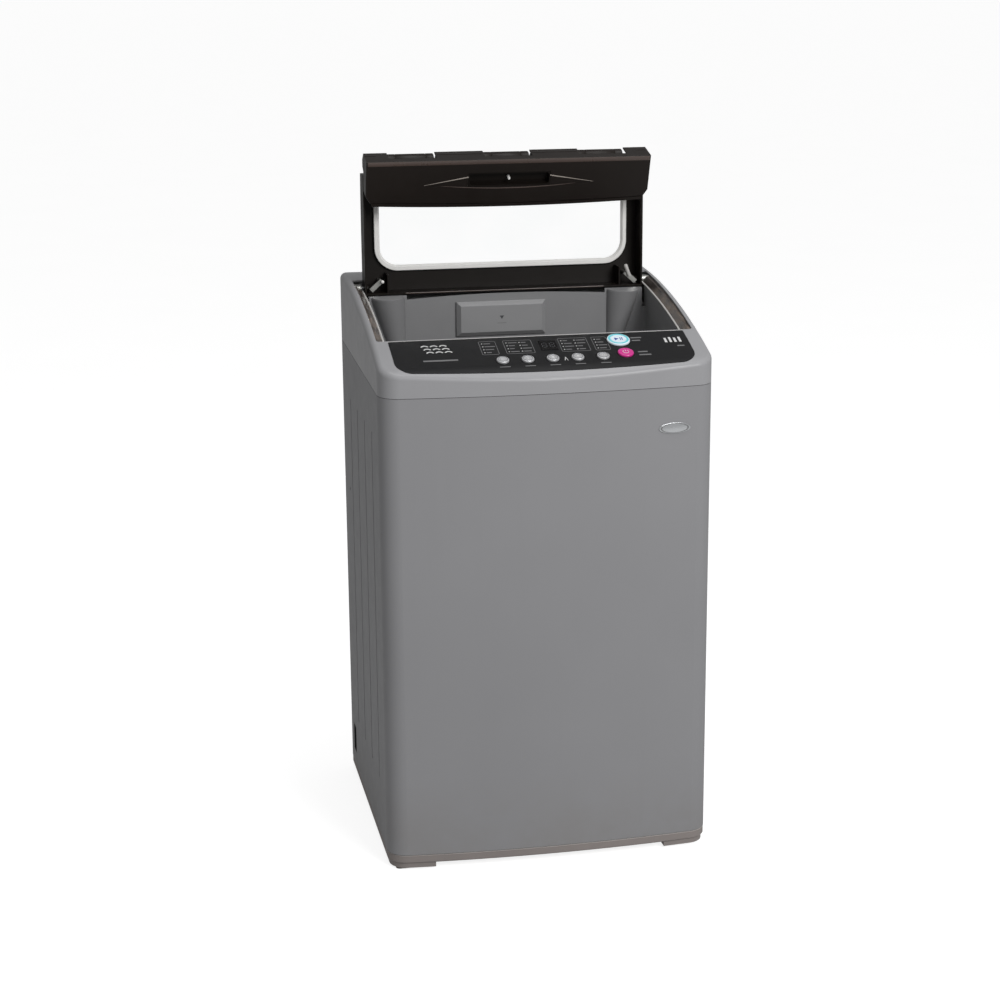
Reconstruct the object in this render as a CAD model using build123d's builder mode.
from build123d import *
from math import asin, atan2, cos, degrees, hypot, pi, radians, sin, sqrt
import os

os.makedirs("parts", exist_ok=True)

# A top load washing machine, in millimetres. X is to the user's right, Y to the back, Z up.
# The origin is on the floor, under the middle of the footprint. The lid stands open.

# ---------------------------------------------------------------- overall
HALF_WIDTH = 275.0
FRONT_Y = -264.0  # crown of the front face
REAR_Y = 240.0  # back of the cabinet
PORT_Y = 264.0  # end of the hose ports
CROWN_RADIUS = 2562.0  # plan curve of the front face
FRONT_CORNER = 34.0
REAR_CORNER = 12.0

# ---------------------------------------------------------------- arched top
TOP_Z = 938.0
ARCH_Y = 268.0  # the arch is highest here
ARCH_RADIUS = 1446.0
ARCH_CENTRE_Z = TOP_Z - ARCH_RADIUS
NOSE_RADIUS = 60.0  # front end of the arch
NOSE_START_Y = -236.0
NOSE_ANGLE = asin((ARCH_Y - NOSE_START_Y) / ARCH_RADIUS)
EDGE_ROUND = 10.0
COVER_WALL = 3.0

# ---------------------------------------------------------------- cabinet, seam and base
STEEL = 1.0
CABINET_BOTTOM = 28.0
SEAM_FRONT_Z = 802.0
SEAM_RISE = 16.0 / 489.0  # the seam climbs towards the back
SEAM_GAP = 0.8
BASE_BOTTOM = 13.0
BASE_TOP = 26.0
PAD_HEIGHT = 4.0
PAD_XY = [(-233.0, -216.0), (-233.0, 208.0), (233.0, 208.0)]
ADJUST_XY = (233.0, -217.0)  # the foot that screws up and down
SIDE_SCREW = (162.0, 559.0)  # y, z
SIDE_GRIP_Y = (165.0, 197.0)
SIDE_GRIP_Z = (52.0, 104.0)
BEAD_Y = (-150.0, -60.0, 30.0, 120.0)  # upright beads in the sides
REAR_WINDOW_X = 232.0
REAR_WINDOW_Z = (70.0, 770.0)
REAR_SCREWS = [(x, z) for x in (-238.0, 0.0, 238.0) for z in (66.5, 773.5)]
BADGE_XZ = (205.0, 735.0)

# ---------------------------------------------------------------- services, x and z on the back
INLET_XZ = (150.0, 880.0)
INLET_R = 13.1  # 3/4 inch hose thread
SPIGOT_XZ = (-180.0, 46.0)
SPIGOT_R = 16.0
GLAND_XZ = (-170.0, 870.0)

# ---------------------------------------------------------------- opening in the top
OPEN_HALF_WIDTH = 264.0
OPEN_FRONT_Y = -148.0
OPEN_REAR_Y = 154.0
WALL_HALF_WIDTH = 248.0  # inner faces of the surround
WALL = 2.5
SURROUND_FLOOR_Z = 797.0
FENCE_Y = 98.0  # rear wall of the surround
FENCE_THICK = 3.0
FENCE_TOP_Z = 911.0
CHANNEL_Z = 880.0  # floor of the hinge channel behind the fence
GUSSET_INNER_X = 178.0
GUSSET_TOP_Z = 914.0
DRAWER_X = (-90.0, 68.0)
DRAWER_FACE_Y = 87.0
DRAWER_Z = (838.0, 898.0)
DRAWER_SLOT_Z = (840.0, 878.0)
DRAWER_SPLIT_X = -11.0  # wall between powder and softener

# ---------------------------------------------------------------- lid
HINGE = (139.0, 921.0)  # y, z of the hinge axis
FOLD = (104.0, 1140.0)  # y, z of the fold axis with the lid open
LID_HALF = 246.5
LID_SKIN = 3.0
REAR_BACK_Y = 148.0  # outer face of the rear half
REAR_BULGE = 3.5
REAR_INNER_Y = 108.0
REAR_BOTTOM_Z = 913.0
REAR_TOP_Z = 1119.3
FRONT_CORNER_YZ = (55.0, 1145.0)  # upper outer corner of the front half
FRONT_LEAN = 20.0
FRONT_LENGTH = 83.0
FRONT_BOW = 6.0  # bow of the free edge
FOLD_DEPTH = 44.0
FREE_DEPTH = 20.0
KNUCKLE = 78.0
KNUCKLE_PITCH = 82.75
PIN_R = 3.0
HINGE_PIN_R = 4.0
RUNNING = 0.05  # radial clearance of a turning fit
WINDOW_HALF = 222.0
WINDOW_Z = (953.0, 1096.0)
WINDOW_CORNER = 38.0
FINGER_HALF = 72.0
FINGER_ALONG = (24.0, 50.0)  # from the fold, down the front half
WING_HALF = 150.0

# ---------------------------------------------------------------- control panel
PANEL_HALF = 246.0
PANEL_REAR_Y = -152.0
PANEL_FRONT_Y = -254.0
PANEL_CROWN = 4200.0
PANEL_CORNER = 28.0
PANEL_PROUD = 0.6
PANEL_THICK = 2.0
SMALL_BUTTONS = {
    "soak_button": -72.0,
    "wash_button": -31.0,
    "rinse_button": 10.0,
    "spin_button": 51.0,
    "water_level_button": 93.0,
}
SMALL_BUTTON_Y = -225.0
SMALL_BUTTON_R = 10.2
POWER_BUTTON = (132.0, -218.0, 13.0)  # x, y, radius
START_BUTTON = (130.0, -177.0, 19.0)
BUTTON_GAP = 0.35
DISPLAY = (11.0, -184.0, 28.0, 32.0)  # x, y, width, length

# ---------------------------------------------------------------- tub, drum and drive
TUB_Y = -14.0
TUB_R = 228.0
TUB_WALL = 3.0
TUB_BOTTOM_Z = 250.0
TUB_TOP_Z = 752.0
DRUM_R = 206.0
DRUM_WALL = 1.0
DRUM_BOTTOM_Z = 300.0
DRUM_TOP_Z = 716.0
RING_TOP_Z = 745.0
RING_HOLE_R = 178.0
PULSATOR_R = 165.0
SHAFT_R = 8.0
SPIN_SHAFT_R = 15.0
PULLEY_Z = 112.0
INPUT_PULLEY_R = 75.0
MOTOR_PULLEY_R = 30.0
MOTOR_XY = (-140.0, -14.0)
ROD_XY = [(x, TUB_Y + y) for x in (-228.0, 228.0) for y in (-190.0, 190.0)]
LUG_Z = 330.5
SPRING_Z = (240.0, 330.0)

SIDE_REACH = 320.0  # side views start here, left of everything
SIDE_PLANE = Plane.YZ.offset(-SIDE_REACH)


def save(piece, label):
    """Label a finished piece and write its STEP file."""
    piece.part.label = label
    export_step(piece.part, f"parts/{label}.step")


# ================================================================ shared shapes
def arch_z(y, drop=0.0):
    """Height of the arched top at y, drop below its surface."""
    return ARCH_CENTRE_Z + sqrt((ARCH_RADIUS - drop) ** 2 - (y - ARCH_Y) ** 2)


def arch_plane(x, y):
    """Plane on the arched top at x, y, with its normal out of the surface."""
    lean = asin((ARCH_Y - y) / ARCH_RADIUS)
    return Plane(origin=(x, y, arch_z(y)), x_dir=(1, 0, 0), z_dir=(0, -sin(lean), cos(lean)))


def seam_plane(lift=0.0):
    """The sloping joint between cabinet and top cover."""
    return Plane(
        origin=(0, FRONT_Y + 15, SEAM_FRONT_Z + lift), x_dir=(1, 0, 0), z_dir=(0, -SEAM_RISE, 1)
    )


def plan_outline(inset):
    """Footprint: straight sides and back, a crowned front and rounded corners."""
    with BuildSketch() as outline:
        with Locations((0, -40)):
            Rectangle(2 * (HALF_WIDTH - inset), 2 * (REAR_Y - inset + 40))
        with Locations((0, FRONT_Y + CROWN_RADIUS)):
            Circle(CROWN_RADIUS - inset, mode=Mode.INTERSECT)
        fillet(outline.vertices().group_by(Axis.Y)[0], FRONT_CORNER - inset)
        fillet(outline.vertices().group_by(Axis.Y)[-1], max(REAR_CORNER - inset, 2.0))
    return outline.sketch


def under_arch(drop):
    """Side view of everything below the arched top, on the YZ plane."""
    nose_y = ARCH_Y - (ARCH_RADIUS - NOSE_RADIUS) * sin(NOSE_ANGLE)
    nose_z = ARCH_CENTRE_Z + (ARCH_RADIUS - NOSE_RADIUS) * cos(NOSE_ANGLE)
    radius = NOSE_RADIUS - drop
    middle = (NOSE_ANGLE + pi / 2) / 2
    join = (nose_y - radius * sin(NOSE_ANGLE), nose_z + radius * cos(NOSE_ANGLE))
    with BuildSketch(SIDE_PLANE) as side:
        with BuildLine():
            ThreePointArc((330, arch_z(330, drop)), (0, arch_z(0, drop)), join)
            ThreePointArc(
                join,
                (nose_y - radius * sin(middle), nose_z + radius * cos(middle)),
                (nose_y - radius, nose_z),
            )
            Polyline(
                (nose_y - radius, nose_z), (nose_y - radius, 650), (330, 650), (330, arch_z(330, drop))
            )
        make_face()
    return side.sketch


def arched_block(plan, drop, bottom):
    """A plan outline raised to the arched top."""
    side = under_arch(drop)
    with BuildPart() as block:
        with BuildSketch(Plane.XY.offset(bottom)):
            add(plan)
        extrude(amount=1000 - bottom)
        add(side)
        extrude(amount=2 * SIDE_REACH, dir=(1, 0, 0), mode=Mode.INTERSECT)
    return block.part


def is_top_edge(edge):
    """True for the edges where the arched top meets the walls."""
    start, end = edge.position_at(0), edge.position_at(1)
    upright = hypot(start.X - end.X, start.Y - end.Y) < 0.01
    crosses = abs(start.Y - end.Y) < 0.01 and abs(start.X + end.X) < 0.01
    at_nose = crosses and abs(start.Y - NOSE_START_Y) < 5
    return edge.center().Z > SEAM_FRONT_Z and not upright and not at_nose


def slab(plan, top_drop, bottom_drop):
    """A plan outline between two depths below the arched top."""
    upper = arched_block(plan, top_drop, 760)
    below = under_arch(bottom_drop)
    with BuildPart() as layer:
        add(upper)
        add(below)
        extrude(amount=2 * SIDE_REACH, dir=(1, 0, 0), mode=Mode.SUBTRACT)
    return layer.part


def panel_outline(grow):
    """Plan of the control panel: straight back, gently curved front, two round corners."""
    with BuildSketch() as outline:
        with Locations((0, PANEL_REAR_Y + grow - 100)):
            Rectangle(2 * (PANEL_HALF + grow), 200)
        with Locations((0, PANEL_FRONT_Y + PANEL_CROWN)):
            Circle(PANEL_CROWN + grow, mode=Mode.INTERSECT)
        fillet(outline.vertices().group_by(Axis.Y)[0], PANEL_CORNER + grow)
        fillet(outline.vertices().group_by(Axis.Y)[-1], 3 + grow)
    return outline.sketch


def box_at(x, y, z, mode=Mode.ADD):
    """A box given by its low and high x, y and z."""
    with Locations(((x[0] + x[1]) / 2, (y[0] + y[1]) / 2, (z[0] + z[1]) / 2)):
        Box(x[1] - x[0], y[1] - y[0], z[1] - z[0], mode=mode)


def rod_along(axis, centre, radius, length, mode=Mode.ADD):
    """A cylinder centred on a point, along X, Y or Z."""
    turn = {"x": (0, 90, 0), "y": (90, 0, 0), "z": (0, 0, 0)}[axis]
    with Locations(centre):
        Cylinder(radius, length, rotation=turn, mode=mode)


def ring(z_low, z_high, outer, inner, centre=(0, TUB_Y)):
    """An upright ring."""
    with BuildSketch(Plane.XY.offset(z_low)) as band:
        with Locations(centre):
            Circle(outer)
            Circle(inner, mode=Mode.SUBTRACT)
    extrude(band.sketch, amount=z_high - z_low)


def all_buttons():
    """Every button as name, x, y, radius."""
    small = [(name, x, SMALL_BUTTON_Y, SMALL_BUTTON_R) for name, x in SMALL_BUTTONS.items()]
    return small + [("power_button", *POWER_BUTTON), ("start_button", *START_BUTTON)]


# ================================================================ casing
def make_cabinet():
    """Folded steel wrap with an open back and shallow upright beads in its sides."""
    outer, inner = plan_outline(0), plan_outline(STEEL)
    with BuildPart() as cabinet:
        with BuildSketch(Plane.XY.offset(CABINET_BOTTOM)):
            add(outer)
            add(inner, mode=Mode.SUBTRACT)
        extrude(amount=820 - CABINET_BOTTOM)
        split(bisect_by=seam_plane(), keep=Keep.BOTTOM)
        window_x = (-REAR_WINDOW_X, REAR_WINDOW_X)
        box_at(window_x, (REAR_Y - 6, REAR_Y + 6), REAR_WINDOW_Z, Mode.SUBTRACT)
        for side in (-1, 1):
            x = side * HALF_WIDTH
            box_at((x - 6, x + 6), SIDE_GRIP_Y, SIDE_GRIP_Z, Mode.SUBTRACT)
            rod_along("x", (x, *SIDE_SCREW), 3.3, 12, Mode.SUBTRACT)
            for bead_y in BEAD_Y:
                with BuildSketch(Plane(origin=(x, bead_y, 430), x_dir=(0, 1, 0), z_dir=(side, 0, 0))):
                    SlotOverall(600, 12, rotation=90)
                extrude(amount=-0.5, mode=Mode.SUBTRACT)
        for x, z in REAR_SCREWS:
            rod_along("y", (x, REAR_Y, z), 2.1, 12, Mode.SUBTRACT)
        rod_along("y", (SPIGOT_XZ[0], REAR_Y, SPIGOT_XZ[1]), 15.4, 12, Mode.SUBTRACT)
    save(cabinet, "cabinet")


def make_rear_cover():
    """Pressed steel back plate with a raised field and rows of air slots."""
    with BuildPart() as rear_cover:
        with BuildSketch(Plane.XZ.offset(-(REAR_Y + 0.3))):
            with Locations((0, 425)):
                RectangleRounded(2 * REAR_WINDOW_X + 24, 716, 14)
        extrude(amount=-1.2)
        with BuildSketch(Plane.XZ.offset(-(REAR_Y + 1.5))):
            with Locations((0, 425)):
                RectangleRounded(400, 620, 30)
        extrude(amount=-9, taper=30)
        with BuildSketch(Plane.XZ.offset(-(REAR_Y + 0.3))):
            with Locations((0, 425)):
                RectangleRounded(396, 616, 28)
        extrude(amount=-9, taper=30, mode=Mode.SUBTRACT)
        with BuildSketch(Plane.XZ.offset(-(REAR_Y - 5))):
            with Locations((0, 640)):
                with GridLocations(60, 14, 5, 5):
                    SlotOverall(46, 5)
        extrude(amount=-30, mode=Mode.SUBTRACT)
        for x, z in REAR_SCREWS:
            rod_along("y", (x, REAR_Y, z), 2.1, 12, Mode.SUBTRACT)
    save(rear_cover, "rear_cover")


def make_base():
    """Moulded base ring with four corner blocks."""
    outer, neck, inner = plan_outline(0.5), plan_outline(6), plan_outline(30)
    with BuildSketch() as corners:
        add(plan_outline(4))
        Rectangle(2 * 197, 600, mode=Mode.SUBTRACT)
        Rectangle(600, 2 * 180, mode=Mode.SUBTRACT)
    feet = corners.sketch
    with BuildPart() as base:
        with BuildSketch(Plane.XY.offset(BASE_BOTTOM)):
            add(outer)
            add(inner, mode=Mode.SUBTRACT)
        extrude(amount=BASE_TOP - BASE_BOTTOM)
        chamfer(base.faces().sort_by(Axis.Z)[0].outer_wire().edges(), 2)
        with BuildSketch(Plane.XY.offset(BASE_TOP)):
            add(neck)
            add(inner, mode=Mode.SUBTRACT)
        extrude(amount=16)
        with BuildSketch(Plane.XY.offset(PAD_HEIGHT)):
            add(feet)
        extrude(amount=BASE_TOP - PAD_HEIGHT)
        rod_along("z", (*ADJUST_XY, 15), 8.3, 60, Mode.SUBTRACT)
        rod_along("y", (SPIGOT_XZ[0], REAR_Y, SPIGOT_XZ[1]), SPIGOT_R, 90, Mode.SUBTRACT)
        rod_along("z", (*ADJUST_XY, 4), 24, 12, Mode.SUBTRACT)
    save(base, "base")


def make_feet():
    """Three rubber pads under the base and one foot on a screw."""
    with BuildPart() as foot_pads:
        for x, y in PAD_XY:
            with BuildSketch(Plane.XY):
                with Locations((x, y)):
                    RectangleRounded(58, 48, 6)
            extrude(amount=PAD_HEIGHT)
    save(foot_pads, "foot_pads")
    with BuildPart() as adjustable_foot:
        rod_along("z", (*ADJUST_XY, 4), 23, 8)
        chamfer(adjustable_foot.edges().group_by(Axis.Z)[-1], 1.5)
        rod_along("z", (*ADJUST_XY, 28), 8, 41)
    save(adjustable_foot, "adjustable_foot")


def make_side_grips():
    """Hand grips: plastic cups let into the cabinet sides near the back."""
    with BuildPart() as side_grips:
        for side in (-1, 1):
            outer_x, inner_x = side * HALF_WIDTH, side * (HALF_WIDTH - 22)
            x = (min(outer_x, inner_x), max(outer_x, inner_x))
            mouth = (x[0] - 1, x[1] - 2) if side < 0 else (x[0] + 2, x[1] + 1)
            for span, inset, mode in ((x, 0.3, Mode.ADD), (mouth, 2.5, Mode.SUBTRACT)):
                y = (SIDE_GRIP_Y[0] + inset, SIDE_GRIP_Y[1] - inset)
                z = (SIDE_GRIP_Z[0] + inset, SIDE_GRIP_Z[1] - inset)
                box_at(span, y, z, mode)
    save(side_grips, "side_grips")


def make_screws():
    """Side screws and the screws of the rear cover."""
    with BuildPart() as screws:
        for side in (-1, 1):
            rod_along("x", (side * (HALF_WIDTH - 6.5), *SIDE_SCREW), 3.0, 13)
        for x, z in REAR_SCREWS:
            rod_along("y", (x, REAR_Y + 2.7, z), 4.5, 2.2)
            rod_along("y", (x, REAR_Y, z), 1.8, 5)
    save(screws, "screws")


def make_badge():
    """Plain oval trim badge on the front."""
    with BuildPart() as badge:
        with BuildSketch(Plane.XZ.offset(-(FRONT_Y + 24))):
            with Locations(BADGE_XZ):
                Ellipse(27, 9)
        extrude(amount=36)
        with BuildSketch(Plane.XY.offset(700)):
            with Locations((0, FRONT_Y + CROWN_RADIUS)):
                Circle(CROWN_RADIUS)
        extrude(amount=80, mode=Mode.SUBTRACT)
        with BuildSketch(Plane.XY.offset(700)):
            with Locations((0, FRONT_Y + CROWN_RADIUS)):
                Circle(CROWN_RADIUS + 1.6)
        extrude(amount=80, mode=Mode.INTERSECT)
    save(badge, "badge")


# ================================================================ top cover and opening
def make_top_cover():
    """Arched moulding over the cabinet, with the opening, the panel seat and a spigot lip."""
    shell = arched_block(plan_outline(0), 0, 760)
    cavity = arched_block(plan_outline(COVER_WALL), COVER_WALL, 750)
    seat = slab(panel_outline(0.2), -25, PANEL_THICK - PANEL_PROUD + 0.05)
    lip_outer, lip_inner = plan_outline(1.6), plan_outline(4.2)
    with BuildPart() as cavity_rounded:
        add(cavity)
        fillet([e for e in cavity_rounded.edges() if is_top_edge(e)], EDGE_ROUND - COVER_WALL)
    with BuildPart() as top_cover:
        add(shell)
        fillet([e for e in top_cover.edges() if is_top_edge(e)], EDGE_ROUND)
        add(cavity_rounded.part, mode=Mode.SUBTRACT)
        split(bisect_by=seam_plane(SEAM_GAP), keep=Keep.TOP)
        with BuildSketch(Plane.XY.offset(786)):
            add(lip_outer)
            add(lip_inner, mode=Mode.SUBTRACT)
        extrude(amount=38)
        with BuildSketch(Plane.XY.offset(700)):
            with Locations((0, (OPEN_FRONT_Y + OPEN_REAR_Y) / 2)):
                RectangleRounded(2 * OPEN_HALF_WIDTH, OPEN_REAR_Y - OPEN_FRONT_Y, 6)
        extrude(amount=300, mode=Mode.SUBTRACT)
        add(seat, mode=Mode.SUBTRACT)
        for _, x, y, radius in all_buttons():
            with BuildSketch(arch_plane(x, y)):
                Circle(radius + 2.5)
            extrude(amount=12, both=True, mode=Mode.SUBTRACT)
        with BuildSketch(arch_plane(DISPLAY[0], DISPLAY[1])):
            Rectangle(DISPLAY[2] - 6, DISPLAY[3] - 6)
        extrude(amount=12, both=True, mode=Mode.SUBTRACT)
        rod_along("y", (INLET_XZ[0], REAR_Y, INLET_XZ[1]), 13.6, 20, Mode.SUBTRACT)
        rod_along("y", (GLAND_XZ[0], REAR_Y, GLAND_XZ[1]), 9.2, 20, Mode.SUBTRACT)
    save(top_cover, "top_cover")


def lid_rest_z(y):
    """Height of the surround just under the closed rear half of the lid."""
    return HINGE[1] - 2.3 - 0.1644 * (HINGE[0] - y)


def make_gussets():
    """Two upright half cones that fill the rear corners of the opening, wide at the top."""
    cones = []
    for side in (-1, 1):
        with BuildPart() as cone:
            with BuildSketch(Plane.XY.offset(SURROUND_FLOOR_Z + 2)):
                with Locations((side * (GUSSET_INNER_X + 12), FENCE_Y + 4)):
                    Circle(12)
            with BuildSketch(Plane.XY.offset(GUSSET_TOP_Z)):
                with Locations((side * (GUSSET_INNER_X + 32), FENCE_Y + 8)):
                    Circle(32)
            loft()
            fillet(cone.edges().sort_by(Axis.Z)[-1], 6)
        cones.append(cone.part)
    return cones


def make_surround():
    """Liner of the opening: walls, shelf with the mouth, corner gussets and the hinge channel."""
    outer_x = WALL_HALF_WIDTH + WALL
    front = OPEN_FRONT_Y + 0.2
    back = OPEN_REAR_Y + 2.8
    with BuildSketch() as footprint_sketch:
        with Locations((0, (front + back) / 2)):
            Rectangle(2 * outer_x, back - front)
    footprint = footprint_sketch.sketch
    tall = arched_block(footprint, 12, SURROUND_FLOOR_Z)
    gussets = make_gussets()
    with BuildPart() as surround:
        add(tall)
        with BuildSketch(Plane.XY.offset(SURROUND_FLOOR_Z + 3)):
            with Locations((0, (front + WALL + FENCE_Y) / 2)):
                RectangleRounded(2 * WALL_HALF_WIDTH, FENCE_Y - front - WALL, 18)
        extrude(amount=300, mode=Mode.SUBTRACT)
        channel_y = (FENCE_Y + FENCE_THICK, OPEN_REAR_Y + 0.3)
        box_at((-WALL_HALF_WIDTH, WALL_HALF_WIDTH), channel_y, (CHANNEL_Z + 3, 1000), Mode.SUBTRACT)
        box_at((-300, 300), (FENCE_Y + FENCE_THICK, back + 1), (780, CHANNEL_Z), Mode.SUBTRACT)
        box_at((-300, 300), (124.5, back + 1), (CHANNEL_Z + 18, 1000), Mode.SUBTRACT)
        box_at((-outer_x, outer_x), (OPEN_REAR_Y + 0.3, back), (CHANNEL_Z, 929))
        with BuildSketch(Plane.XY.offset(SURROUND_FLOOR_Z - 20)):
            with Locations((0, (OPEN_FRONT_Y + FENCE_Y) / 2)):
                RectangleRounded(396, FENCE_Y - OPEN_FRONT_Y - 4, 62)
        extrude(amount=22)
        with BuildSketch(Plane.XY.offset(SURROUND_FLOOR_Z - 30)):
            with Locations((0, (OPEN_FRONT_Y + FENCE_Y) / 2)):
                RectangleRounded(390, FENCE_Y - OPEN_FRONT_Y - 10, 60)
        extrude(amount=60, mode=Mode.SUBTRACT)
        add(gussets)
        box_at((-300, 300), channel_y, (CHANNEL_Z + 3, 1000), Mode.SUBTRACT)
        with BuildSketch(Plane.XZ.offset(-(FENCE_Y + FENCE_THICK))):
            with BuildLine():
                ThreePointArc((-176, FENCE_TOP_Z - 6), (0, FENCE_TOP_Z), (176, FENCE_TOP_Z - 6))
                Polyline((176, FENCE_TOP_Z - 6), (176, 960), (-176, 960), (-176, FENCE_TOP_Z - 6))
            make_face()
        extrude(amount=FENCE_THICK, mode=Mode.SUBTRACT)
        with BuildSketch(Plane.YZ.offset(-WALL_HALF_WIDTH)):
            with BuildLine():
                Polyline((60, lid_rest_z(60)), (103, lid_rest_z(103)), (103, 960), (60, 960), close=True)
            make_face()
        extrude(amount=2 * WALL_HALF_WIDTH, mode=Mode.SUBTRACT)
        for side in (-1, 1):
            x = sorted((side * (LID_HALF - LID_SKIN - 1.2), side * WALL_HALF_WIDTH))
            box_at(x, (80, FENCE_Y + FENCE_THICK), (878, 960), Mode.SUBTRACT)
        slot_x = (DRAWER_X[0] + 2, DRAWER_X[1] - 2)
        box_at(slot_x, (FENCE_Y - 5, FENCE_Y + 12), DRAWER_SLOT_Z, Mode.SUBTRACT)
    save(surround, "opening_surround")


def make_side_rails():
    """Dark guide strips between the arched rim and the surround, lower at their inner edge."""
    for side, name in ((-1, "side_rail_left"), (1, "side_rail_right")):
        inner_x, outer_x = WALL_HALF_WIDTH + WALL + 0.2, OPEN_HALF_WIDTH - 0.3
        with BuildSketch() as strip:
            with Locations((side * (inner_x + outer_x) / 2, (OPEN_FRONT_Y + 124) / 2)):
                Rectangle(outer_x - inner_x, 124 - OPEN_FRONT_Y - 0.6)
        layer = slab(strip.sketch, 3.5, 24)
        with BuildPart() as rail:
            add(layer)
            inner_top = rail.edges().filter_by(lambda e: abs(e.center().X) < inner_x + 0.1)
            inner_top = inner_top.filter_by(lambda e: e.length > 200).sort_by(Axis.Z)[-1]
            chamfer(inner_top, 9, 8)
        save(rail, name)


def make_control_panel():
    """Glossy overlay on the slope, pierced for the buttons and the display."""
    layer = slab(panel_outline(0), -PANEL_PROUD, PANEL_THICK - PANEL_PROUD)
    with BuildPart() as control_panel:
        add(layer)
        for _, x, y, radius in all_buttons():
            with BuildSketch(arch_plane(x, y)):
                Circle(radius + BUTTON_GAP)
            extrude(amount=12, both=True, mode=Mode.SUBTRACT)
        with BuildSketch(arch_plane(DISPLAY[0], DISPLAY[1])):
            Rectangle(DISPLAY[2] + 0.2, DISPLAY[3] + 0.2)
        extrude(amount=12, both=True, mode=Mode.SUBTRACT)
    save(control_panel, "control_panel")


def make_display():
    """Smoked window with a bevelled rim, seated in the panel."""
    with BuildPart() as display_window:
        with BuildSketch(arch_plane(DISPLAY[0], DISPLAY[1]).offset(-1.2)):
            Rectangle(DISPLAY[2], DISPLAY[3])
        extrude(amount=2.6)
        chamfer(display_window.faces().sort_by(Axis.Z)[-1].edges(), 0.8)
    save(display_window, "display_window")


def make_buttons():
    """Domed caps on short stems, one node each."""
    for name, x, y, radius in all_buttons():
        top = arch_plane(x, y).offset(3.4)
        with BuildPart() as button:
            with BuildSketch(top):
                Circle(radius)
            extrude(amount=-5.4)
            fillet(button.edges().filter_by(GeomType.CIRCLE).sort_by(Axis.Z)[-1], 1.6)
            with BuildSketch(top.offset(-5.4)):
                Circle(radius + 1.4)
            extrude(amount=-1.2)
            with BuildSketch(top.offset(-6.6)):
                Circle(3)
            extrude(amount=-5)
        save(button, name)


def make_control_board():
    """Circuit board on posts under the panel, with switches, a display block and a relay."""
    board = arch_plane(10, -198).offset(-20)
    with BuildPart() as control_board:
        with BuildSketch(board):
            RectangleRounded(330, 78, 4)
        extrude(amount=-1.6)
        with BuildSketch(board):
            with Locations((DISPLAY[0] - 10, DISPLAY[1] + 198)):
                Rectangle(36, 18)
        extrude(amount=12)
        for _, x, y, _ in all_buttons():
            with BuildSketch(board):
                with Locations((x - 10, y + 198)):
                    Rectangle(9, 9)
            extrude(amount=4)
        with BuildSketch(board.offset(-1.6)):
            with Locations((-120, 0), (-80, 5), (100, 0)):
                Rectangle(24, 18)
        extrude(amount=-15)
    save(control_board, "control_board")


def make_dispenser():
    """Detergent drawer and the fixed housing it slides in."""
    body_x = (DRAWER_X[0] + 4, DRAWER_X[1] - 4)
    housing_y = (FENCE_Y + FENCE_THICK + 0.2, 196.0)
    with BuildPart() as housing:
        housing_x = (DRAWER_X[0] - 1, DRAWER_X[1] + 1)
        box_at(housing_x, housing_y, (DRAWER_SLOT_Z[0] - 5, CHANNEL_Z - 0.2))
        box_at(
            (DRAWER_X[0] + 1.5, DRAWER_X[1] - 1.5),
            (housing_y[0] - 1, housing_y[1] - 2.5),
            (DRAWER_SLOT_Z[0] - 2, CHANNEL_Z - 2.2),
            Mode.SUBTRACT,
        )
        drain_z = (DRAWER_SLOT_Z[0] - 10, DRAWER_SLOT_Z[0])
        box_at((-50, 28), (110, 180), drain_z, Mode.SUBTRACT)
    save(housing, "dispenser_housing")
    with BuildPart() as drawer:
        box_at(DRAWER_X, (DRAWER_FACE_Y, FENCE_Y - 0.4), DRAWER_Z)
        chamfer(drawer.faces().sort_by(Axis.Y)[0].edges(), 7)
        box_at(body_x, (FENCE_Y - 0.4, 186), (DRAWER_SLOT_Z[0] + 1.5, DRAWER_SLOT_Z[1] - 2))
        for span in ((body_x[0] + 2, DRAWER_SPLIT_X - 1), (DRAWER_SPLIT_X + 1, body_x[1] - 2)):
            box_at(span, (FENCE_Y + 2, 184), (DRAWER_SLOT_Z[0] + 3.5, 900), Mode.SUBTRACT)
    save(drawer, "detergent_drawer")


def make_lid_switch():
    """Safety switch box on the surround wall and the plunger that the lid presses."""
    with BuildPart() as lid_switch:
        box_at((218, WALL_HALF_WIDTH - 0.4), (-126, -104), (831, 845))
    save(lid_switch, "lid_switch")
    with BuildPart() as lever:
        with BuildSketch(Plane.YZ.offset(226)):
            with BuildLine():
                Polyline((-121, 848), (-110, 848), (-110, 858), (-116, 866), (-121, 866), close=True)
            make_face()
        extrude(amount=10)
        fillet(lever.edges().filter_by(Axis.X).group_by(Axis.Z)[-1], 1.5)
    save(lever, "lid_switch_lever")


def make_hinges():
    """Hinge brackets beside the channel and their two pins."""
    inner_x, outer_x = WALL_HALF_WIDTH + WALL + 0.3, OPEN_HALF_WIDTH - 0.3
    with BuildPart() as brackets:
        for side in (-1, 1):
            x = sorted((side * inner_x, side * outer_x))
            box_at(x, (125.0, 153.0), (899.0, 928.0))
            fillet(brackets.edges().filter_by(Axis.X).group_by(Axis.Z)[-1], 5)
        for side in (-1, 1):
            rod_along("x", (side * 257, *HINGE), HINGE_PIN_R + 0.02, 30, Mode.SUBTRACT)
    save(brackets, "hinge_brackets")
    with BuildPart() as pins:
        for side in (-1, 1):
            rod_along("x", (side * 251, *HINGE), HINGE_PIN_R, 25)
    save(pins, "hinge_pins")


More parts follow.
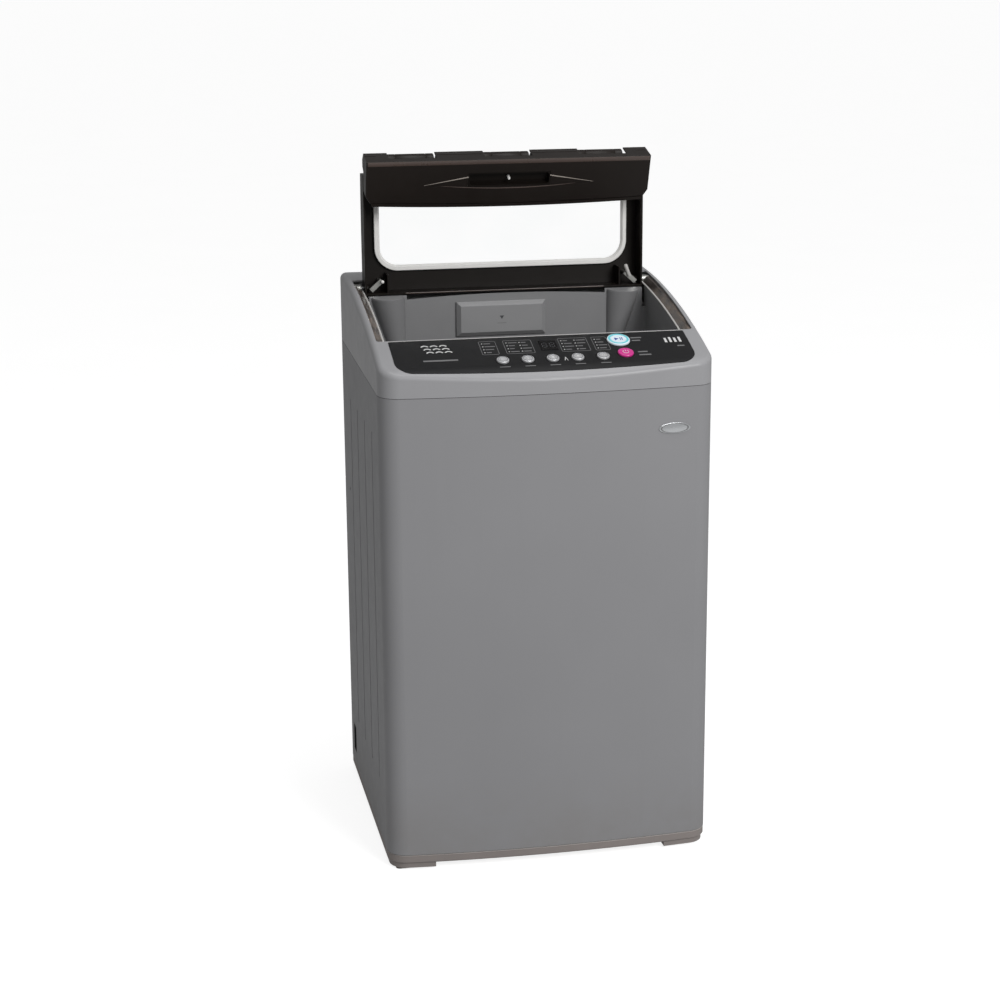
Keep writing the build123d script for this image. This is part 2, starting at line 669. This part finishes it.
# ================================================================ lid
def rear_section(half, back_y, front_y, low, high):
    """Side view of the rear half, flat inside and slightly arched outside."""
    with BuildSketch(Plane.YZ.offset(-half)) as section:
        with BuildLine():
            ThreePointArc((back_y, low), (back_y + REAR_BULGE, (low + high) / 2), (back_y, high))
            Polyline((back_y, high), (front_y, high), (front_y, low), (back_y, low))
        make_face()
    return section.sketch


def rear_knuckles():
    """Places of the rear half's three knuckles along the fold."""
    return [-2 * KNUCKLE_PITCH, 0.0, 2 * KNUCKLE_PITCH]


def make_lid_rear_frame():
    """Rear half of the lid: a tray with a window cut-out, hinge bosses and knuckle arms."""
    inner = LID_HALF - LID_SKIN
    outside = rear_section(LID_HALF, REAR_BACK_Y, REAR_INNER_Y, REAR_BOTTOM_Z, REAR_TOP_Z)
    inside = rear_section(
        inner, REAR_BACK_Y - LID_SKIN, REAR_INNER_Y - 5, REAR_BOTTOM_Z + LID_SKIN, REAR_TOP_Z - LID_SKIN
    )
    with BuildPart() as frame:
        add(outside)
        extrude(amount=2 * LID_HALF, dir=(1, 0, 0))
        outer_ends = frame.edges().filter_by(lambda e: e.center().Y > 140 and abs(e.center().X) > 200)
        fillet(outer_ends, 4)
        add(inside)
        extrude(amount=2 * inner, dir=(1, 0, 0), mode=Mode.SUBTRACT)
        window_mid = (WINDOW_Z[0] + WINDOW_Z[1]) / 2
        with BuildSketch(Plane.XZ.offset(-160)):
            with Locations((0, window_mid)):
                RectangleRounded(2 * WINDOW_HALF, WINDOW_Z[1] - WINDOW_Z[0], WINDOW_CORNER)
        extrude(amount=60, mode=Mode.SUBTRACT)
        for side in (-1, 1):
            rod_along("x", (side * 242, *HINGE), 8, 8)
        for x in rear_knuckles():
            with BuildSketch(Plane.YZ.offset(x - KNUCKLE / 2)):
                with BuildLine():
                    Polyline(
                        (109, 1104), (126, 1118), (124, 1126), (109, 1145), (99, 1143), (99, 1128), close=True
                    )
                make_face()
            extrude(amount=KNUCKLE)
        for x in (-206.0, 206.0):
            box_at((x - 1.2, x + 1.2), (112, 147), (REAR_BOTTOM_Z + 1, WINDOW_Z[0] - 6))
        rod_along("x", (0, *FOLD), PIN_R + RUNNING, 600, Mode.SUBTRACT)
        for side in (-1, 1):
            rod_along("x", (side * 243, *HINGE), HINGE_PIN_R + RUNNING, 20, Mode.SUBTRACT)
    save(frame, "lid_rear_frame")


def make_lid_window():
    """Clear pane and the bevelled bezel around it."""
    middle = (WINDOW_Z[0] + WINDOW_Z[1]) / 2
    height = WINDOW_Z[1] - WINDOW_Z[0]
    with BuildPart() as bezel:
        with BuildSketch(Plane.XZ.offset(-144.6)):
            with Locations((0, middle)):
                RectangleRounded(2 * WINDOW_HALF + 6, height + 6, WINDOW_CORNER + 3)
        extrude(amount=5)
        with BuildSketch(Plane.XZ.offset(-144.6)):
            with Locations((0, middle)):
                RectangleRounded(2 * WINDOW_HALF - 14, height - 14, WINDOW_CORNER - 7)
        extrude(amount=5, taper=-35, mode=Mode.SUBTRACT)
        fillet(bezel.faces().sort_by(Axis.Y)[0].outer_wire().edges(), 1.5)
    save(bezel, "window_bezel")
    with BuildPart() as pane:
        with BuildSketch(Plane.XZ.offset(-147.6)):
            with Locations((0, middle)):
                RectangleRounded(2 * WINDOW_HALF - 0.8, height - 0.8, WINDOW_CORNER - 0.4)
        extrude(amount=2.8)
    save(pane, "lid_window")


def make_hinge_arms():
    """Steel arms that tie the rear half to its hinge bosses."""
    with BuildPart() as arms:
        for side in (-1, 1):
            strut = Plane(origin=(side * 226, 116, 929), x_dir=(1, 0, -side * 0.9), z_dir=(0, -1, 0))
            with Locations(strut):
                Box(26, 8, 5)
            rod_along("y", (side * 219, 129, 935), 3, 32)
    save(arms, "hinge_arms")


def front_plane():
    """Plane on the outer face of the front half: Y runs down the panel and Z into it."""
    lean = radians(FRONT_LEAN)
    y, z = FRONT_CORNER_YZ
    return Plane(origin=(0, y, z), x_dir=(1, 0, 0), z_dir=(0, cos(lean), sin(lean)))


def front_point(along, depth):
    """World y, z of a point given along and into the front half."""
    lean = radians(FRONT_LEAN)
    y, z = FRONT_CORNER_YZ
    return (y + along * sin(lean) + depth * cos(lean), z - along * cos(lean) + depth * sin(lean))


def front_outline(inset):
    """Face view of the front half: clipped corners and a bowed free edge."""
    half, clip = LID_HALF - inset, LID_HALF - inset - 8
    end = FRONT_LENGTH - FRONT_BOW - inset
    with BuildSketch() as outline:
        with BuildLine():
            Polyline((-clip, end), (-half, 64), (-half, inset), (half, inset), (half, 64), (clip, end))
            ThreePointArc((clip, end), (0, FRONT_LENGTH - inset), (-clip, end))
        make_face()
    return outline.sketch


def wedge_section(skin, extra):
    """Side view of the front half: deep at the fold and shallow at its free edge."""
    with BuildSketch(SIDE_PLANE) as section:
        with BuildLine():
            Polyline(
                front_point(skin, skin),
                front_point(FRONT_LENGTH + 10, skin),
                front_point(FRONT_LENGTH + 10, FREE_DEPTH - 3 + extra),
                front_point(3.5 + skin, FOLD_DEPTH + extra),
                front_point(skin, skin),
            )
        make_face()
    return section.sketch


def make_lid_front_panel():
    """Front half of the lid: a wedge-shaped tray with knuckles and a seat for the finger grip."""
    outline, hollow_outline = front_outline(0), front_outline(3)
    wedge, hollow = wedge_section(0, 0), wedge_section(3, 12)
    with BuildPart() as hollow_part:
        with BuildSketch(front_plane()):
            add(hollow_outline)
        extrude(amount=80)
        add(hollow)
        extrude(amount=2 * SIDE_REACH, dir=(1, 0, 0), mode=Mode.INTERSECT)
    with BuildPart() as panel:
        with BuildSketch(front_plane()):
            add(outline)
        extrude(amount=60)
        add(wedge)
        extrude(amount=2 * SIDE_REACH, dir=(1, 0, 0), mode=Mode.INTERSECT)
        outer_edges = panel.faces().sort_by(Axis.Y)[0].edges()
        fillet(outer_edges, 2.5)
        add(hollow_part.part, mode=Mode.SUBTRACT)
        fold_lugs = [-LID_HALF + 10, -KNUCKLE_PITCH, KNUCKLE_PITCH, LID_HALF - 10]
        for x in fold_lugs:
            width = 20 if abs(x) > 200 else KNUCKLE
            with BuildSketch(Plane.YZ.offset(x - width / 2)):
                with BuildLine():
                    Polyline(
                        front_point(2, 30),
                        front_point(4, FOLD_DEPTH - 1),
                        (FOLD[0] + 6, FOLD[1] + 6),
                        (FOLD[0] + 6, FOLD[1] - 6),
                        front_point(34, 32),
                        front_point(30, 26),
                        close=True,
                    )
                make_face()
            extrude(amount=width)
        for x in rear_knuckles():
            box_at((x - KNUCKLE / 2 - 2, x + KNUCKLE / 2 + 2), (70, 112), (1122, 1170), Mode.SUBTRACT)
        rod_along("x", (0, *FOLD), PIN_R + RUNNING, 600, Mode.SUBTRACT)
        with BuildSketch(front_plane()):
            with Locations((0, sum(FINGER_ALONG) / 2)):
                Rectangle(2 * FINGER_HALF, FINGER_ALONG[1] - FINGER_ALONG[0])
        extrude(amount=20, mode=Mode.SUBTRACT)
        for side in (-1, 1):
            with BuildSketch(front_plane()):
                with BuildLine():
                    Polyline(
                        (side * FINGER_HALF, 32), (side * WING_HALF, 46), (side * FINGER_HALF, 49), close=True
                    )
                make_face()
            extrude(amount=1.2, mode=Mode.SUBTRACT)
    save(panel, "lid_front_panel")


def make_lid_grip():
    """Finger grip cup of the front half."""
    with BuildPart() as grip:
        with BuildSketch(front_plane().offset(1.0)):
            with Locations((0, sum(FINGER_ALONG) / 2)):
                Rectangle(2 * FINGER_HALF - 0.6, FINGER_ALONG[1] - FINGER_ALONG[0] - 0.6)
        extrude(amount=16)
        with BuildSketch(front_plane()):
            with Locations((0, sum(FINGER_ALONG) / 2)):
                RectangleRounded(2 * FINGER_HALF - 5, FINGER_ALONG[1] - FINGER_ALONG[0] - 5, 5)
        extrude(amount=15, mode=Mode.SUBTRACT)
    save(grip, "lid_grip")


def make_fold_pin():
    """Pin through all the knuckles of the fold."""
    with BuildPart() as pin:
        rod_along("x", (0, *FOLD), PIN_R, 484)
    save(pin, "fold_pin")


# ================================================================ tub, drum and drive
def make_outer_tub():
    """Water tub with a flat floor, stiffening ribs and four suspension lugs."""
    with BuildPart() as tub:
        ring(TUB_BOTTOM_Z, TUB_TOP_Z, TUB_R, TUB_R - TUB_WALL)
        ring(TUB_BOTTOM_Z, TUB_BOTTOM_Z + 5, TUB_R - TUB_WALL + 0.5, 32)
        ring(TUB_BOTTOM_Z - 12, TUB_BOTTOM_Z, TUB_R - 20, TUB_R - 23)
        ring(TUB_TOP_Z - 8, TUB_TOP_Z, TUB_R + 4, TUB_R - 1)
        with BuildSketch(Plane.XY.offset(TUB_BOTTOM_Z - 12)):
            with Locations((0, TUB_Y)):
                with PolarLocations(145, 12):
                    Rectangle(124, 3)
        extrude(amount=12.5)
        for x, y in ROD_XY:
            reach = hypot(x, y - TUB_Y)
            toward = degrees(atan2(y - TUB_Y, x))
            with BuildSketch(Plane.XY.offset(LUG_Z)):
                with Locations((0, TUB_Y)):
                    with Locations(Location((0, 0), toward)):
                        with Locations(((reach + TUB_R - 2) / 2 + 7, 0)):
                            Rectangle(reach - TUB_R + 16, 34)
            extrude(amount=10)
        for x, y in ROD_XY:
            rod_along("z", (x, y, LUG_Z), 7.5, 60, Mode.SUBTRACT)
    save(tub, "outer_tub")


def make_tub_cover():
    """Splash ring on top of the tub."""
    with BuildPart() as cover:
        ring(TUB_TOP_Z + 0.2, TUB_TOP_Z + 3.2, TUB_R + 4, 186)
        ring(TUB_TOP_Z + 0.2, TUB_TOP_Z + 9, 189, 186)
        fillet(cover.edges().group_by(Axis.Z)[-1], 1)
    save(cover, "tub_cover")


def make_drum():
    """Spin drum: pierced wall, floor with a hub hole, balance ring and lint filter."""
    with BuildPart() as drum:
        ring(DRUM_BOTTOM_Z, DRUM_TOP_Z, DRUM_R, DRUM_R - DRUM_WALL)
        ring(DRUM_BOTTOM_Z, DRUM_BOTTOM_Z + 2, DRUM_R - DRUM_WALL + 0.3, SPIN_SHAFT_R + 0.2)
        for row in range(6):
            turn = 7.5 * (row % 2)
            for step in range(12):
                angle = 30 * step + turn
                spot = Location((0, TUB_Y, 380 + 54 * row), (0, 0, angle))
                with Locations(spot):
                    with Locations(Location((DRUM_R, 0, 0), (0, 90, 0))):
                        Cylinder(3.5, 12, mode=Mode.SUBTRACT)
    save(drum, "drum")
    with BuildPart() as balance_ring:
        ring(DRUM_TOP_Z + 0.2, RING_TOP_Z, DRUM_R + 3, RING_HOLE_R)
        fillet(balance_ring.edges().group_by(Axis.Z)[-1], 6)
    save(balance_ring, "balance_ring")
    with BuildPart() as lint_filter:
        face_y = TUB_Y + DRUM_R - DRUM_WALL - 12
        box_at((-45, 45), (face_y, face_y + 5), (420, 560))
        fillet(lint_filter.edges().filter_by(Axis.Y), 14)
        fillet(lint_filter.faces().sort_by(Axis.Y)[0].edges(), 2)
    save(lint_filter, "lint_filter")


def make_pulsator():
    """Wash plate with four swept fins, its cap and its bolt hole."""
    bore = SHAFT_R + RUNNING
    with BuildPart() as pulsator:
        with BuildSketch(Plane.XZ.offset(-TUB_Y)):
            with BuildLine():
                Polyline((bore, 322), (bore, 308), (PULSATOR_R - 12, 306), (PULSATOR_R, 310))
                Line((PULSATOR_R, 310), (PULSATOR_R, 314))
                ThreePointArc((PULSATOR_R, 314), (90, 316), (40, 330))
                Polyline((40, 330), (20, 332), (20, 322), (bore, 322))
            make_face()
        revolve(axis=Axis((0, TUB_Y, 0), (0, 0, 1)))
        for step in range(4):
            turn = step * pi / 2
            with BuildSketch(Plane(origin=(0, TUB_Y, 312), x_dir=(cos(turn), sin(turn), 0))):
                with Locations(Location((92, 12), 12)):
                    SlotOverall(120, 26)
            extrude(amount=22, taper=14)
    save(pulsator, "pulsator")
    with BuildPart() as cap:
        rod_along("z", (0, TUB_Y, 328.2), 19.6, 11)
        fillet(cap.edges().group_by(Axis.Z)[-1], 4)
        rod_along("z", (0, TUB_Y, 320), SHAFT_R + 0.1, 14, Mode.SUBTRACT)
    save(cap, "pulsator_cap")


def make_shafts():
    """Solid drive shaft inside the hollow spin shaft."""
    with BuildPart() as drive_shaft:
        rod_along("z", (0, TUB_Y, 244), SHAFT_R, 160)
    save(drive_shaft, "drive_shaft")
    with BuildPart() as spin_shaft:
        ring(170, DRUM_BOTTOM_Z - 3.2, SPIN_SHAFT_R, SHAFT_R + RUNNING)
        ring(DRUM_BOTTOM_Z - 3.2, DRUM_BOTTOM_Z - 0.2, 60, SHAFT_R + RUNNING)
        ring(DRUM_BOTTOM_Z - 0.2, DRUM_BOTTOM_Z + 4, SPIN_SHAFT_R, SHAFT_R + RUNNING)
    save(spin_shaft, "spin_shaft")


def make_gearcase():
    """Reduction gearcase under the tub, with a bore for the spin shaft and a flange."""
    with BuildPart() as gearcase:
        ring(150, 236, 58, SPIN_SHAFT_R + RUNNING)
        ring(228, 240, 78, SPIN_SHAFT_R + RUNNING)
        ring(240, TUB_BOTTOM_Z + 20, 31, SPIN_SHAFT_R + RUNNING)
        fillet(gearcase.edges().group_by(Axis.Z)[0].filter_by(lambda e: e.length > 200), 8)
    save(gearcase, "gearcase")
    with BuildPart() as support_plate:
        with BuildSketch(Plane.XY.offset(222)):
            with Locations((-40, TUB_Y)):
                RectangleRounded(360, 130, 20)
            with Locations((0, TUB_Y)):
                Circle(58.4, mode=Mode.SUBTRACT)
            with Locations(MOTOR_XY):
                Circle(8.6, mode=Mode.SUBTRACT)
        extrude(amount=3)
    save(support_plate, "support_plate")


def make_motor():
    """Belt motor hung from the support plate."""
    with BuildPart() as motor:
        with BuildSketch(Plane.XY.offset(140)):
            with Locations(MOTOR_XY):
                Circle(54)
        extrude(amount=74)
        fillet(motor.edges().filter_by(GeomType.CIRCLE), 7)
        with BuildSketch(Plane.XY.offset(213)):
            with Locations(MOTOR_XY):
                with PolarLocations(46, 4, 45):
                    Circle(5)
        extrude(amount=8.8)
        with BuildSketch(Plane.XY.offset(98)):
            with Locations(MOTOR_XY):
                Circle(6)
        extrude(amount=50)
    save(motor, "motor")


def grooved_pulley(radius, bore, centre):
    """A pulley with a V groove, turned about an upright axis."""
    x, y = centre
    half = 9.0
    with BuildPart() as pulley:
        with BuildSketch(Plane(origin=(x, y, PULLEY_Z), x_dir=(1, 0, 0), z_dir=(0, -1, 0))):
            with BuildLine():
                Polyline(
                    (bore, -half),
                    (radius + 4, -half),
                    (radius + 4, -half + 2),
                    (radius - 4, -2.5),
                    (radius - 4, 2.5),
                    (radius + 4, half - 2),
                    (radius + 4, half),
                    (bore, half),
                    close=True,
                )
            make_face()
        revolve(axis=Axis((x, y, 0), (0, 0, 1)))
        if radius > 50:
            with BuildSketch(Plane.XY.offset(PULLEY_Z - half)):
                with Locations((x, y)):
                    with PolarLocations(44, 5):
                        Circle(11)
            extrude(amount=2 * half, mode=Mode.SUBTRACT)
    return pulley


def make_pulleys():
    """Input pulley with its stub shaft, motor pulley and the belt around both."""
    input_pulley = grooved_pulley(INPUT_PULLEY_R, 6.0, (0, TUB_Y))
    with BuildPart() as with_stub:
        add(input_pulley.part)
        rod_along("z", (0, TUB_Y, PULLEY_Z + 16), 10, 52)
    save(with_stub, "input_pulley")
    motor_pulley = grooved_pulley(MOTOR_PULLEY_R, 6.0 + RUNNING, MOTOR_XY)
    save(motor_pulley, "motor_pulley")
    with BuildPart() as belt:
        for grow, mode in ((8.5, Mode.ADD), (2.5, Mode.SUBTRACT)):
            with BuildSketch(Plane.XY.offset(PULLEY_Z - 2.2)) as track:
                with Locations((0, TUB_Y)):
                    Circle(INPUT_PULLEY_R + grow - 6)
                with Locations(MOTOR_XY):
                    Circle(MOTOR_PULLEY_R + grow - 6)
                make_hull()
            extrude(amount=4.4, mode=mode)
    save(belt, "drive_belt")


def make_suspension():
    """Four hanging rods with their top brackets, bottom cups and springs."""
    with BuildPart() as rods:
        for x, y in ROD_XY:
            rod_along("z", (x, y, 470), 5, 500)
            rod_along("z", (x, y, 724), 12, 10)
            rod_along("z", (x, y, SPRING_Z[0] - 4), 19, 7.6)
    save(rods, "suspension_rods")
    with BuildPart() as brackets:
        for x, y in ROD_XY:
            wall_x = HALF_WIDTH - STEEL - 0.3
            low, high = sorted((x - 22 if x > 0 else x + 22, wall_x if x > 0 else -wall_x))
            box_at((low, high), (y - 18, y + 18), (714, 718.8))
            side_low, side_high = (wall_x - 4, wall_x) if x > 0 else (-wall_x, -wall_x + 4)
            box_at((side_low, side_high), (y - 18, y + 18), (680, 718.8))
        for x, y in ROD_XY:
            rod_along("z", (x, y, 716), 5.4, 20, Mode.SUBTRACT)
    save(brackets, "suspension_brackets")
    turns = 8
    height = SPRING_Z[1] - SPRING_Z[0] - 5
    with BuildPart() as springs:
        for x, y in ROD_XY:
            with BuildLine(Plane(origin=(x, y, SPRING_Z[0] + 2.5))) as coil:
                Helix(pitch=height / turns, height=height, radius=12)
            with BuildSketch(Plane(origin=coil.line @ 0, z_dir=coil.line % 0)):
                Circle(2)
            sweep(path=coil.line)
    save(springs, "suspension_springs")


def make_water_parts():
    """Inlet valve, drain valve, drain spigot and pressure sensor."""
    inlet_x, inlet_z = INLET_XZ
    with BuildPart() as inlet_valve:
        rod_along("y", (inlet_x, REAR_Y - 4, inlet_z), INLET_R - 0.7, 12)
        rod_along("y", (inlet_x, (REAR_Y + 2 + PORT_Y) / 2, inlet_z), INLET_R, PORT_Y - REAR_Y - 2)
        rod_along("y", (inlet_x, PORT_Y - 5, inlet_z), 9, 12, Mode.SUBTRACT)
        box_at((inlet_x - 20, inlet_x + 20), (202, REAR_Y - 8), (inlet_z - 18, inlet_z + 18))
        rod_along("z", (inlet_x, 216, inlet_z + 26), 12, 20)
        rod_along("x", (inlet_x - 30, 214, inlet_z - 6), 7, 30)
    save(inlet_valve, "inlet_valve")
    with BuildPart() as drain_valve:
        rod_along("z", (110, TUB_Y + 100, 212), 26, 50)
        rod_along("y", (110, TUB_Y + 145, 205), 14, 40)
        box_at((70, 100), (TUB_Y + 60, TUB_Y + 85), (182, 220))
        rod_along("x", (90, TUB_Y + 85, 205), 6, 30)
    save(drain_valve, "drain_valve")
    with BuildPart() as spigot:
        spigot_x, spigot_z = SPIGOT_XZ
        rod_along("y", (spigot_x, REAR_Y - 11, spigot_z), SPIGOT_R - 1, 28)
        rod_along("y", (spigot_x, (REAR_Y + 3 + PORT_Y) / 2, spigot_z), SPIGOT_R, PORT_Y - REAR_Y - 3)
        rod_along("y", (spigot_x, REAR_Y, spigot_z), 12.5, 80, Mode.SUBTRACT)
    save(spigot, "drain_spigot")


def make_electrics():
    """Pressure sensor, capacitor and the gland where the mains lead leaves."""
    with BuildPart() as sensor:
        rod_along("z", (-170, -190, 802), 26, 16)
        rod_along("z", (-170, -190, 790), 5, 20)
    save(sensor, "pressure_sensor")
    with BuildPart() as capacitor:
        rod_along("z", (-215, 60, 82), 21, 76)
        fillet(capacitor.edges().filter_by(GeomType.CIRCLE), 3)
    save(capacitor, "capacitor")
    gland_x, gland_z = GLAND_XZ
    with BuildPart() as gland:
        rod_along("y", (gland_x, REAR_Y + 3, gland_z), 9, 26)
        rod_along("y", (gland_x, REAR_Y + 4, gland_z), 13, 5)
        rod_along("y", (gland_x, REAR_Y, gland_z), 3.6, 60, Mode.SUBTRACT)
    save(gland, "power_gland")


make_cabinet()
make_rear_cover()
make_base()
make_feet()
make_side_grips()
make_screws()
make_badge()
make_top_cover()
make_surround()
make_side_rails()
make_control_panel()
make_display()
make_buttons()
make_control_board()
make_dispenser()
make_lid_switch()
make_hinges()
make_lid_rear_frame()
make_lid_window()
make_hinge_arms()
make_lid_front_panel()
make_lid_grip()
make_fold_pin()
make_outer_tub()
make_tub_cover()
make_drum()
make_pulsator()
make_shafts()
make_gearcase()
make_motor()
make_pulleys()
make_suspension()
make_water_parts()
make_electrics()
